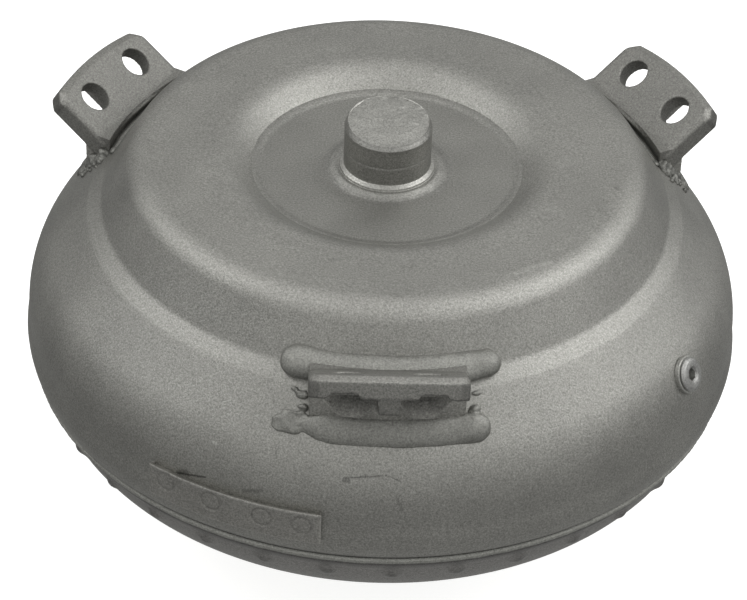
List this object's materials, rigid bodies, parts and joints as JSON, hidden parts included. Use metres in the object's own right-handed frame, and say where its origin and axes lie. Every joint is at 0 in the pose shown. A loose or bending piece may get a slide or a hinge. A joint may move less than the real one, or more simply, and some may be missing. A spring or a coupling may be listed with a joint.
{
  "type": "torque converter",
  "caption": "Closed fluid coupling for an automatic gearbox, with a bladed pump, turbine and stator and a sprung lock-up clutch inside a welded steel housing.",
  "frame": {"origin": "centre of the pump hub's end face, on the axis of rotation; the part stands on it", "axes": "+Z along the axis towards the engine side, -Y through the middle of the first mounting lug"},
  "size_m": [0.2588, 0.2609, 0.1657],
  "materials": {
    "cover_steel": "satin, blasted",
    "pilot_steel": "satin, blasted, turned side",
    "lug_steel": "satin, blasted",
    "weld_metal": "satin, rippled weld bead",
    "plug_steel": "satin, zinc plated",
    "seal_metal": "satin",
    "weight_steel": "satin, blasted",
    "pump_steel": "satin, blasted",
    "hub_steel": "ground",
    "blade_steel": "bare pressed sheet",
    "shell_steel": "bare pressed sheet",
    "bearing_steel": "polished",
    "damper_steel": "bare pressed sheet",
    "spring_steel": "dark, hardened",
    "lining_paper": "matt friction paper",
    "piston_steel": "bare pressed sheet",
    "stator_aluminium": "cast, satin",
    "race_steel": "ground"
  },
  "bodies": {
    "housing": {"front_cover": "cover_steel", "crank_pilot": "pilot_steel", "piston_guide": "hub_steel", "strap_carrier": "piston_steel", "mounting_lug_1": "lug_steel", "mounting_lug_2": "lug_steel", "mounting_lug_3": "lug_steel", "lug_weld_upper_1": "weld_metal", "lug_weld_upper_2": "weld_metal", "lug_weld_upper_3": "weld_metal", "lug_weld_lower_1": "weld_metal", "lug_weld_lower_2": "weld_metal", "lug_weld_lower_3": "weld_metal", "drain_plug": "plug_steel", "plug_seal": "seal_metal", "balance_weight": "weight_steel", "closure_weld": "weld_metal", "pump_shell": "pump_steel", "pump_hub": "hub_steel", "hub_weld": "weld_metal", "impeller_blades": "blade_steel", "thrust_bearing_front": "bearing_steel", "thrust_bearing_rear": "bearing_steel", "leaf_strap_1": "spring_steel", "leaf_strap_2": "spring_steel", "leaf_strap_3": "spring_steel"},
    "turbine": {"turbine_shell": "shell_steel", "turbine_blades": "blade_steel", "turbine_hub": "hub_steel", "damper_hub_plate": "damper_steel", "thrust_bearing_middle": "bearing_steel"},
    "damper_input": {"damper_front_plate": "damper_steel", "damper_rear_plate": "damper_steel", "damper_spacer_1": "damper_steel", "damper_spacer_2": "damper_steel", "damper_spacer_3": "damper_steel", "friction_disc": "damper_steel", "friction_lining_front": "lining_paper", "friction_lining_rear": "lining_paper", "damper_spring_1": "spring_steel", "damper_spring_2": "spring_steel", "damper_spring_3": "spring_steel", "damper_spring_4": "spring_steel", "damper_spring_5": "spring_steel", "damper_spring_6": "spring_steel"},
    "piston": {"lockup_piston": "piston_steel"},
    "inner_race": {"clutch_inner_race": "race_steel"},
    "stator": {"stator_wheel": "stator_aluminium", "clutch_outer_race": "race_steel", "clutch_retainer_front": "race_steel", "clutch_retainer_rear": "race_steel", "clutch_roller_1": "race_steel", "clutch_roller_2": "race_steel", "clutch_roller_3": "race_steel", "clutch_roller_4": "race_steel", "clutch_roller_5": "race_steel", "clutch_roller_6": "race_steel", "clutch_roller_7": "race_steel", "clutch_roller_8": "race_steel"}
  },
  "joints": [
    {"name": "turbine_spin", "type": "hinge", "parent": "housing", "child": "turbine", "pos_m": [0, 0, 0.1], "axis": [0, 0, 1], "continuous": true},
    {"name": "damper_twist", "type": "hinge", "parent": "turbine", "child": "damper_input", "pos_m": [0, 0, 0.126], "axis": [0, 0, 1], "range_deg": [-8, 8], "stiffness_Nm_per_rad": 200, "deforming": ["damper_spring_1", "damper_spring_2", "damper_spring_3", "damper_spring_4", "damper_spring_5", "damper_spring_6"]},
    {"name": "piston_apply", "type": "slide", "parent": "housing", "child": "piston", "axis": [0, 0, 1], "range_m": [0, 0.001], "stiffness_N_per_m": 6000, "deforming": ["leaf_strap_1", "leaf_strap_2", "leaf_strap_3"]},
    {"name": "inner_race_spin", "type": "hinge", "parent": "housing", "child": "inner_race", "pos_m": [0, 0, 0.07], "axis": [0, 0, 1], "continuous": true},
    {"name": "stator_freewheel", "type": "hinge", "parent": "inner_race", "child": "stator", "pos_m": [0, 0, 0.074], "axis": [0, 0, 1], "continuous": true}
  ]
}
